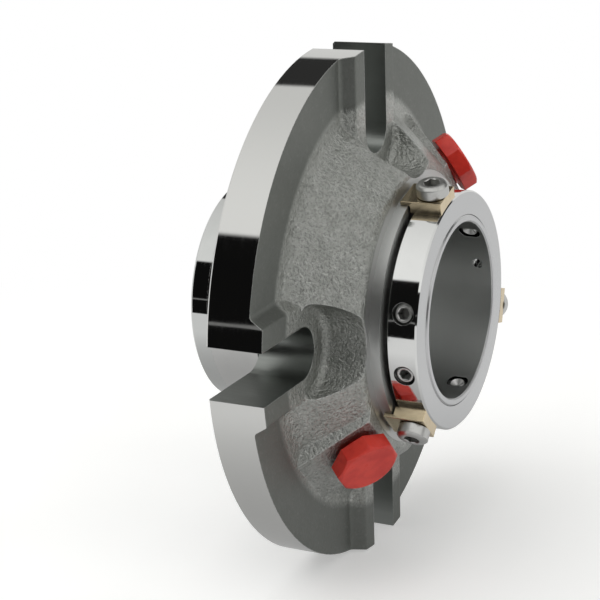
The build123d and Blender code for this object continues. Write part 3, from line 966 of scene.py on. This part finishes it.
def radial_frame(degrees: float, x: float, radius: float) -> Matrix:
    """Make a frame on a radius of the shaft axis: Z points outwards and X along the shaft.

    Args:
        degrees: Turn of the radius about the shaft axis.
        x: Place of its origin along the shaft.
        radius: Distance of its origin from the shaft axis.

    Returns:
        The matrix of the frame.
    """
    c, s = math.cos(math.radians(degrees)), math.sin(math.radians(degrees))
    return Matrix((
        (1.0, 0.0, 0.0, x),
        (0.0, s, c, radius * c),
        (0.0, -c, s, radius * s),
        (0.0, 0.0, 0.0, 1.0)))


@dataclass
class Piece:
    """A finished mesh and what it stands for."""

    name: str
    bm: bmesh.types.BMesh
    body: Body
    material: bpy.types.Material
    slot: str
    replaces: tuple[str, ...]
    smooth_degrees: float = 32.0

    def place(self) -> bpy.types.Object:
        """Make the object in metres, hang it on its body and hide the nodes that it replaces.

        Returns:
            The object.
        """
        bmesh.ops.scale(self.bm, vec=(MM, MM, MM), verts=self.bm.verts)
        mesh = bpy.data.meshes.new(self.name)
        self.bm.to_mesh(mesh)
        self.bm.free()
        mesh.shade_smooth()
        mesh.set_sharp_from_angle(angle=math.radians(self.smooth_degrees))
        mesh.materials.append(self.material)
        obj = bpy.data.objects.new(self.name, mesh)
        bpy.context.scene.collection.objects.link(obj)
        weighted = obj.modifiers.new("face_weight", "WEIGHTED_NORMAL")
        weighted.keep_sharp = True
        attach(obj, self.body.value)
        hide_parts(*self.replaces)
        LOG.info("%s: %d faces", self.name, len(mesh.polygons))
        return obj


def dress(node: str, material: bpy.types.Material) -> None:
    """Give a node of the frame its finish.

    Args:
        node: Name of the node.
        material: Its finish.
    """
    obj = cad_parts[node]
    for slot in obj.material_slots:
        slot.material = material
    LOG.info("%s: dressed", node)


# ---- port plugs -------------------------------------------------------------------------------


@dataclass
class PortPlug:
    """Red plastic plug: an eight-sided head, a neck and a tapered pipe thread."""

    index: int
    degrees: float
    tilt: float = 45.0
    axis_offset: float = 23.1
    level: float = 49.497
    sides: int = 8
    turn: float = 22.5
    across_flats: float = 17.0
    head_height: float = 4.9
    head_gap: float = 1.3
    crown_inset: float = 0.5
    crown_slope: float = 55.0
    crown_reach: float = 4.0
    crown_steps: int = 96
    thread_r: float = 6.5
    thread_depth: float = 0.62
    thread_length: float = 9.0
    thread_taper: float = 0.28
    pitch: float = 1.34
    lead_in: float = 0.7
    tip_inset: float = 0.9
    neck_height: float = 0.5
    neck_in_head: float = 0.4
    neck_flare: float = 0.1
    edge: float = 0.22
    edge_degrees: float = 12.0

    def frame(self) -> Matrix:
        """Make the frame of the port: Z points out of it, and Z = 0 is the flat around it.

        Returns:
            The matrix of the frame.
        """
        tilt = math.radians(self.tilt)
        c, s = math.cos(math.radians(self.degrees)), math.sin(math.radians(self.degrees))
        out = Vector((math.cos(tilt), math.sin(tilt) * c, math.sin(tilt) * s))
        across = Vector((0.0, -s, c))
        third = out.cross(across)
        start = Vector((0.0, self.axis_offset * c, self.axis_offset * s))
        origin = start + out * (self.level - self.axis_offset * math.sin(tilt))
        columns = (across.to_4d(), third.to_4d(), out.to_4d(), origin.to_4d())
        matrix = Matrix(columns).transposed()
        matrix[3] = (0.0, 0.0, 0.0, 1.0)
        return matrix

    def head(self) -> bmesh.types.BMesh:
        """Shape the eight-sided head with its turned crown.

        Returns:
            The closed head.
        """
        low, high = self.head_gap, self.head_gap + self.head_height
        turn = Matrix.Rotation(math.radians(self.turn), 4, "Z")
        block = prism(self.sides, self.across_flats, low, high + 2 * OVERLAP_MM)
        rim = self.across_flats / 2 - self.crown_inset
        slope = math.tan(math.radians(self.crown_slope))
        wide = rim + self.crown_reach
        crown = lathe([
            (low - OVERLAP_MM, 0.0), (low - OVERLAP_MM, wide),
            (high - self.crown_reach / slope, wide), (high, rim), (high, 0.0)], self.crown_steps)
        head = combine(moved(block, turn), crown, Cut.KEEP_COMMON)
        return round_edges(head, self.edge, 3, self.edge_degrees)

    def shank(self) -> bmesh.types.BMesh:
        """Shape the neck, the thread's core, its lead-in and its ridge.

        Returns:
            The core and the ridge, each closed.
        """
        root = self.thread_r - self.thread_depth
        low = -self.thread_length
        top = self.head_gap + self.neck_in_head
        core = lathe([
            (top, 0.0), (top, root + self.neck_flare), (self.neck_height, root),
            (low + self.lead_in, root - self.thread_taper), (low, root - self.tip_inset),
            (low, 0.0)], 48)
        ridge = thread(
            self.thread_r, root, self.pitch, low + self.lead_in, 0.1, self.thread_taper)
        return join(core, ridge)

    def build(self, material: bpy.types.Material) -> None:
        """Build the plug in its port.

        Args:
            material: Finish of the plug.
        """
        bm = moved(join(self.head(), self.shank()), self.frame())
        name = f"port_plug_{self.index}"
        Piece(f"{name}_moulded", bm, Body.HOUSING, material, "red_plastic", (name,)).place()


# ---- lock ring and what sits on it ------------------------------------------------------------


@dataclass
class ClampSet:
    """Setting clips, their low-headed screws, and the set screws of the lock ring."""

    screw_x: float = 37.0
    ring_r: float = 33.8
    nose_r: float = 36.0
    sleeve_r: float = 27.0
    shaft_r: float = 25.0
    clip_angles: tuple[float, ...] = (106.3, 226.3, 346.3)
    cup_angles: tuple[float, ...] = (166.3, 286.3, 46.3)
    dog_angles: tuple[float, ...] = (196.3, 316.3, 76.3)
    clip_top: float = 36.9
    clip_half: float = 5.2
    clip_back: float = 29.3
    clip_front: float = 41.0
    clip_step: float = 31.95
    clip_over_nose: float = 0.1
    clip_sunk: float = 6.0
    clip_edge: float = 0.28
    screw_hole: float = 2.6
    hole_chamfer: float = 0.6
    screw_r: float = 2.48
    screw_tip: float = 28.8
    head_r: float = 4.4
    head_h: float = 3.6
    head_crown: float = 0.7
    head_edge: float = 0.08
    head_chamfer: float = 0.25
    head_round: float = 0.45
    head_flat: float = 1.0
    socket: float = 4.0
    socket_depth: float = 2.1
    socket_mouth: float = 1.02
    drill_point: float = 0.9
    set_r: float = 2.98
    set_top: float = 33.2
    set_socket: float = 3.0
    set_depth: float = 3.2
    set_mouth: float = 0.7
    set_edge: float = 0.06
    dog_r: float = 1.95
    pitch: float = 1.0
    thread_depth: float = 0.58

    def clip(self, degrees: float) -> bmesh.types.BMesh:
        """Shape one clip: a milled block with a lip over the nose ring and a screw hole.

        Args:
            degrees: Turn of the clip about the shaft axis.

        Returns:
            The closed clip.
        """
        bm = empty_mesh()
        bmesh.ops.create_cube(bm, size=1.0)
        low = self.ring_r - self.clip_sunk
        bmesh.ops.scale(
            bm, vec=(self.clip_front - self.clip_back, 2 * self.clip_half, self.clip_top - low),
            verts=bm.verts)
        middle = ((self.clip_front + self.clip_back) / 2, 0.0, (self.clip_top + low) / 2)
        bmesh.ops.translate(bm, vec=middle, verts=bm.verts)
        turn = Matrix.Rotation(math.radians(90.0), 4, "Y")
        lip = self.nose_r + self.clip_over_nose
        behind, before = self.clip_back - 2 * OVERLAP_MM, self.clip_front + 2 * OVERLAP_MM
        under = moved(lathe([
            (behind, 0.0), (behind, lip), (self.clip_step, lip), (self.clip_step, self.ring_r),
            (before, self.ring_r), (before, 0.0)], 192), turn)
        bm = combine(bm, under, Cut.TAKE_AWAY)
        half = self.hole_chamfer / 2
        hole = moved(lathe([
            (low - OVERLAP_MM, 0.0), (low - OVERLAP_MM, self.screw_hole),
            (self.clip_top - half, self.screw_hole),
            (self.clip_top + half, self.screw_hole + self.hole_chamfer),
            (self.clip_top + half, 0.0)], 40), Matrix.Translation((self.screw_x, 0.0, 0.0)))
        bm = round_edges(combine(bm, hole, Cut.TAKE_AWAY), self.clip_edge, 3)
        return moved(bm, radial_frame(degrees, 0.0, 0.0))

    def cap_screw(self, degrees: float) -> bmesh.types.BMesh:
        """Shape one low cap screw: crowned head, hexagon socket with a drilled end, thread.

        Args:
            degrees: Turn of the screw about the shaft axis.

        Returns:
            The head, the core and the ridge, each closed.
        """
        top = self.head_h
        root = self.screw_r - self.thread_depth
        tip = self.screw_tip - self.clip_top
        bevel = self.head_chamfer
        head = lathe([
            (-0.6, 0.0), (-0.6, root), (0.0, root + 0.5), (0.0, self.head_r - bevel),
            (bevel, self.head_r), (top - self.head_crown, self.head_r),
            (top - bevel, self.head_r - self.head_round), (top, self.head_r - self.head_flat),
            (top, 0.0)], 72)
        floor, flat = top - self.socket_depth, self.socket / 2
        wide = flat * self.socket_mouth
        socket = prism(6, self.socket, floor, top + OVERLAP_MM)
        drill = lathe([
            (floor - self.drill_point, 0.0), (floor + 0.1, flat), (floor + 0.3, flat),
            (floor + 0.3, 0.0)], 32)
        mouth = lathe([
            (top - 0.2, 0.0), (top - 0.2, wide), (top + 0.4, wide + 0.6), (top + 0.4, 0.0)], 48)
        for tool in (socket, drill, mouth):
            head = combine(head, tool, Cut.TAKE_AWAY)
        head = round_edges(head, self.head_edge, 2)
        core = lathe([
            (-0.3, 0.0), (-0.3, root), (tip + 0.7, root), (tip, root - 0.5), (tip, 0.0)], 40)
        ridge = thread(self.screw_r, root, self.pitch, tip + 0.8, -1.2)
        return moved(join(head, core, ridge), radial_frame(degrees, self.screw_x, self.clip_top))

    def set_screw(self, degrees: float, cup: bool) -> bmesh.types.BMesh:
        """Shape one set screw, with a cup point or a dog point.

        Args:
            degrees: Turn of the screw about the shaft axis.
            cup: Whether it has a cup point, which grips the shaft.

        Returns:
            The body and the ridge, each closed.
        """
        root = self.set_r - self.thread_depth
        if cup:
            end = self.shaft_r + 0.3 - self.set_top
            point = [(end + 0.8, root), (end, root - 0.5), (end + 1.0, 0.4), (end + 1.1, 0.0)]
        else:
            end = self.sleeve_r + 0.1 - self.set_top
            shoulder = self.sleeve_r + 1.0 - self.set_top
            point = [(shoulder + 0.2, root), (shoulder, root - 0.2), (shoulder, self.dog_r),
                     (end + 0.2, self.dog_r), (end, self.dog_r - 0.2), (end, 0.0)]
        low = point[0][0]
        body = lathe([(0.0, 0.0), (0.0, root - 0.2), (-0.25, root), *point], 48)
        socket = prism(6, self.set_socket, -self.set_depth, OVERLAP_MM)
        flat = self.set_socket / 2
        mouth = lathe([
            (-0.3, 0.0), (-0.3, flat), (0.4, flat + self.set_mouth), (0.4, 0.0)], 40)
        for tool in (socket, mouth):
            body = combine(body, tool, Cut.TAKE_AWAY)
        body = round_edges(body, self.set_edge, 1)
        ridge = thread(self.set_r, root, self.pitch, low + 0.5, -0.5)
        return moved(join(body, ridge), radial_frame(degrees, self.screw_x, self.set_top))

    def build(self, brass: bpy.types.Material, steel: bpy.types.Material,
              point: bpy.types.Material) -> None:
        """Build the clips and all screws.

        Args:
            brass: Finish of the clips.
            steel: Finish of the cap screws.
            point: Finish of the set screws.
        """
        for index, degrees in enumerate(self.clip_angles, start=1):
            node = f"setting_clip_{index}"
            Piece(f"{node}_milled", self.clip(degrees), Body.ROTOR, brass, "brass", (node,)).place()
        caps = [self.cap_screw(degrees) for degrees in self.clip_angles]
        cups = [self.set_screw(degrees, True) for degrees in self.cup_angles]
        dogs = [self.set_screw(degrees, False) for degrees in self.dog_angles]
        for node, screws, material in (
                ("clip_screws", caps, steel), ("cup_point_screws", cups, point),
                ("dog_point_screws", dogs, point)):
            Piece(f"{node}_turned", join(*screws), Body.ROTOR, material, "screw_steel",
                  (node,)).place()


# ---- wave spring ------------------------------------------------------------------------------


@dataclass
class WaveSpring:
    """Closed wavy strip between the spring plate and the end of the chamber."""

    inner: float = 30.9
    outer: float = 34.3
    thickness: float = 0.5
    waves: int = 4
    back: float = 11.2
    chamber_end: float = 14.5
    slip: float = 0.1
    steps: int = 288
    edge: float = 0.08

    def build(self, material: bpy.types.Material) -> None:
        """Build the spring, its waves spanning the gap between the spring plate and the chamber's
        end.

        Args:
            material: Finish of the spring.
        """
        half = self.thickness / 2
        section = [(-half, self.inner), (half, self.inner), (half, self.outer), (-half, self.outer)]
        bm = moved(lathe(section, self.steps, True), Matrix.Rotation(math.radians(90.0), 4, "Y"))
        swing = (self.chamber_end - self.back - self.thickness) / 2 - self.slip
        middle = (self.chamber_end + self.back) / 2
        for vert in bm.verts:
            turn = math.atan2(vert.co.z, vert.co.y)
            vert.co.x += middle + swing * math.cos(self.waves * turn)
        spring = Piece("wave_spring_strip", round_edges(bm, self.edge, 2), Body.HOUSING, material,
                       "spring_steel", ("wave_spring",)).place()
        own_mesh(spring)


# ---- studio -----------------------------------------------------------------------------------


@dataclass(frozen=True)
class Surround:
    """The light around the object, by its turn about the shaft axis in degrees.

    At 0 it is level behind the object, at 90 straight above and at 180 level in front.
    A soft box hangs above, a pale wall stands behind, and all else is kept dark.
    """

    tint: Colour = (1.0, 1.0, 0.985)
    box_start: Range = (58.0, 61.0)
    box_end: Range = (138.5, 141.0)
    box_shade: Range = (60.0, 130.0)
    box_light: Range = (0.78, 0.98)
    wall_start: Range = (-158.0, -150.0)
    wall_end: Range = (31.0, 35.0)
    wall_shade: Range = (-60.0, -20.0)
    wall_light: Range = (0.25, 0.80)
    gap: tuple[float, float, float] = (46.0, 14.0, 2.0)
    gap_light: float = 0.03
    slit: tuple[float, float, float] = (179.0, 0.5, 0.4)
    slit_light: float = 0.22
    dark_light: float = 0.006

    def build(self) -> None:
        """Build the world: white to the eye, and soft light between dark flags."""
        g = Graph("studio_world", world=True)
        way = g.node("ShaderNodeTexCoord").outputs["Generated"]
        _, y, z = g.split(way)
        turn = g.math("MULTIPLY", g.math("ARCTAN2", z, y), 180.0 / math.pi)
        box = g.math(
            "MULTIPLY", g.ramp(turn, *self.box_start), g.ramp(turn, *self.box_end, 1.0, 0.0))
        box = g.math("MULTIPLY", box, g.ramp(turn, *self.box_shade, *self.box_light))
        wall = g.math(
            "MULTIPLY", g.ramp(turn, *self.wall_shade, *self.wall_light),
            g.ramp(turn, *self.wall_end, 1.0, 0.0))
        wall = g.math("MULTIPLY", wall, g.ramp(turn, *self.wall_start))
        gap = g.math("MULTIPLY", g.band(turn, *self.gap), self.gap_light)
        slit = g.math("MULTIPLY", g.band(turn, *self.slit), self.slit_light)
        light = g.math("ADD", g.math("ADD", box, wall), g.math("ADD", gap, slit))
        light = g.math("ADD", light, self.dark_light)
        path = g.node("ShaderNodeLightPath").outputs["Is Camera Ray"]
        strength = g.blend(path, light, 1.0)
        made = g.node("ShaderNodeBackground", {"Color": (*self.tint, 1.0), "Strength": strength})
        g.node("ShaderNodeOutputWorld", {"Surface": made.outputs[0]})
        bpy.context.scene.world = g.owner


@dataclass
class Studio:
    """Plain pale floor, soft light and the camera."""

    azimuth: float = 25.551
    elevation: float = 16.502
    roll: float = -1.638
    distance: float = 0.47746
    aim_right: float = -0.0085
    aim_up: float = -0.0011
    lens_mm: float = 98.2
    sensor_mm: float = 36.0
    floor_z: float = -0.0735
    floor_size: float = 1.6
    floor_front: float = -0.33
    floor_white: Range = (0.16, 0.32)
    floor_tints: tuple[Colour, Colour] = ((0.88, 0.88, 0.87), (0.91, 0.91, 0.90))
    floor_mottle_mm: float = 60.0
    floor_glow: float = 0.30
    # the floor's glow for glossy rays, with a painted shadow near the object
    reflected_shadow_reach: Range = (0.05, 0.17)
    reflected_floor_light: Range = (0.40, 0.84)
    reflected_floor_share: float = 0.75
    lamp_place: tuple[float, float, float] = (-0.25, -0.20, 0.80)
    lamp_size: float = 0.9
    lamp_watts: float = 2.3
    surround: Surround = field(default_factory=Surround)

    def axes(self) -> tuple[Vector, Vector, Vector]:
        """Find the camera's directions.

        Returns:
            Its backward, right and up directions.
        """
        a, e, r = (math.radians(v) for v in (self.azimuth, self.elevation, self.roll))
        back = Vector((math.sin(a) * math.cos(e), -math.cos(a) * math.cos(e), math.sin(e)))
        level = Vector((math.cos(a), math.sin(a), 0.0))
        above = back.cross(level)
        right = level * math.cos(r) + above * math.sin(r)
        up = above * math.cos(r) - level * math.sin(r)
        return back, right, up

    def camera(self) -> None:
        """Place the camera and make it the scene's own."""
        back, right, up = self.axes()
        place = back * self.distance
        target = right * self.aim_right + up * self.aim_up
        behind = (place - target).normalized()
        side = up.cross(behind).normalized()
        top = behind.cross(side)
        data = bpy.data.cameras.new("camera")
        data.sensor_width = self.sensor_mm
        data.lens = self.lens_mm
        data.clip_start = 0.01
        obj = bpy.data.objects.new("camera", data)
        obj.matrix_world = Matrix((
            (side.x, top.x, behind.x, place.x), (side.y, top.y, behind.y, place.y),
            (side.z, top.z, behind.z, place.z), (0.0, 0.0, 0.0, 1.0)))
        bpy.context.scene.collection.objects.link(obj)
        bpy.context.scene.camera = obj

    def floor(self) -> None:
        """Lay the pale floor, which goes to pure white away from the object, and which glows for
        glossy rays with a painted shadow near the object.
        """
        g = Graph("studio_floor")
        spot = g.place()
        x, y, _ = g.split(spot)
        reach = g.reach(x, y)
        far = g.ramp(reach, *self.floor_white)
        path = g.node("ShaderNodeLightPath").outputs
        seen = g.math("MAXIMUM", path["Is Camera Ray"], path["Is Transmission Ray"])
        mottle = g.noise(spot, self.floor_mottle_mm, 2.0)
        colour = g.mix(g.ramp(mottle, 0.3, 0.7), *self.floor_tints)
        matt = g.node("ShaderNodeBsdfDiffuse", {"Color": colour}).outputs[0]
        lift = g.math("MULTIPLY", seen, self.floor_glow)
        glow = g.node("ShaderNodeEmission", {"Strength": lift}).outputs[0]
        near = g.node("ShaderNodeAddShader", {0: matt, 1: glow}).outputs[0]
        white = g.node("ShaderNodeEmission", {"Strength": 1.0}).outputs[0]
        # painted light: glossy rays see the floor glow, dimmer near the object as a painted shadow
        # and brighter away from it
        reflected_floor = g.ramp(reach, *self.reflected_shadow_reach, *self.reflected_floor_light)
        reflected_floor_glow = g.node("ShaderNodeEmission", {"Strength": reflected_floor}).outputs[0]
        out = g.node("ShaderNodeMixShader", {0: g.math("MULTIPLY", far, seen), 1: near, 2: white})
        out = g.node("ShaderNodeMixShader", {
            0: g.math("MULTIPLY", path["Is Glossy Ray"], self.reflected_floor_share), 1: out.outputs[0],
            2: reflected_floor_glow})
        g.node("ShaderNodeOutputMaterial", {"Surface": out.outputs[0]})
        bm = empty_mesh()
        bmesh.ops.create_grid(bm, x_segments=4, y_segments=4, size=1.0)
        depth = self.floor_size - self.floor_front
        bmesh.ops.scale(bm, vec=(self.floor_size, depth / 2, 1.0), verts=bm.verts)
        middle = (0.0, self.floor_front + depth / 2, self.floor_z)
        bmesh.ops.translate(bm, vec=middle, verts=bm.verts)
        mesh = bpy.data.meshes.new("floor")
        bm.to_mesh(mesh)
        bm.free()
        mesh.materials.append(g.owner)
        obj = bpy.data.objects.new("floor", mesh)
        bpy.context.scene.collection.objects.link(obj)

    def lamp(self) -> None:
        """Hang the soft square lamp, which points at the object and leaves no reflection."""
        data = bpy.data.lights.new("key_lamp", "AREA")
        data.size = self.lamp_size
        data.energy = self.lamp_watts
        obj = bpy.data.objects.new("key_lamp", data)
        aim = Vector(self.lamp_place).to_track_quat("Z", "Y").to_matrix().to_4x4()
        obj.matrix_world = Matrix.Translation(self.lamp_place) @ aim
        obj.visible_glossy = False
        bpy.context.scene.collection.objects.link(obj)

    def build(self) -> None:
        """Set up the whole studio."""
        self.camera()
        self.surround.build()
        self.floor()
        self.lamp()
        bpy.context.scene.view_settings.view_transform = "Standard"


# ---- the whole seal ---------------------------------------------------------------------------


@dataclass
class Seal:
    """All sub-assemblies of the cartridge seal and their finishes."""

    clamps: ClampSet = field(default_factory=ClampSet)
    spring: WaveSpring = field(default_factory=WaveSpring)
    port_angles: tuple[float, float] = (45.0, 225.0)

    def build(self) -> None:
        """Dress the frame's nodes and build the detailed pieces."""
        bright = TurnedSteel("lock_ring_bright", colour=(0.74, 0.745, 0.735)).make()
        sleeve = TurnedSteel(
            "sleeve_turned", colour=(0.62, 0.63, 0.62), rough=0.03, feed_mm=0.12,
            depth_mm=0.0003, scratches=0.4, anisotropy=0.4, front_rough=0.25,
            bore_r=self.clamps.shaft_r).make()
        holder = TurnedSteel("holder_bright", rough=0.03, depth_mm=0.0003).make()
        screw = PlainSteel("screw_steel_bright", rough=0.30).make()
        point = PlainSteel("set_screw_steel", colour=(0.74, 0.74, 0.73), rough=0.42).make()
        strip = PlainSteel("spring_strip", colour=(0.50, 0.49, 0.46), rough=0.30).make()
        carbon = LappedFace(
            "carbon_graphite", colour=(0.035, 0.035, 0.038), fleck=(0.07, 0.07, 0.075)).make()
        ceramic = LappedFace(
            "silicon_carbide", colour=(0.085, 0.09, 0.095), fleck=(0.15, 0.155, 0.16),
            rough=0.22).make()
        rubber = MouldedRubber().make()
        finishes = {
            "gland": GlandSteel().make(), "gland_gasket": FibreSheet().make(),
            "throttle_bushing": carbon, "retaining_ring": strip, "anti_rotation_pins": screw,
            "stationary_face": carbon, "stationary_o_ring": rubber, "spring_plate": strip,
            "sleeve": sleeve, "shaft_o_ring": rubber, "rotary_holder": holder,
            "holder_pins": screw, "rotary_o_ring": rubber, "rotary_face": ceramic,
            "drive_pins": screw, "lock_ring": bright,
        }
        for node, material in finishes.items():
            dress(node, material)
        red = MouldedPlastic().make()
        for index, degrees in enumerate(self.port_angles, start=1):
            PortPlug(index, degrees).build(red)
        self.clamps.build(MilledBrass().make(), screw, point)
        self.spring.build(strip)


def main() -> None:
    """Build the studio and the seal."""
    logging.basicConfig(level=logging.INFO, format="%(message)s")
    Studio().build()
    Seal().build()


if __name__ == "__main__":
    main()
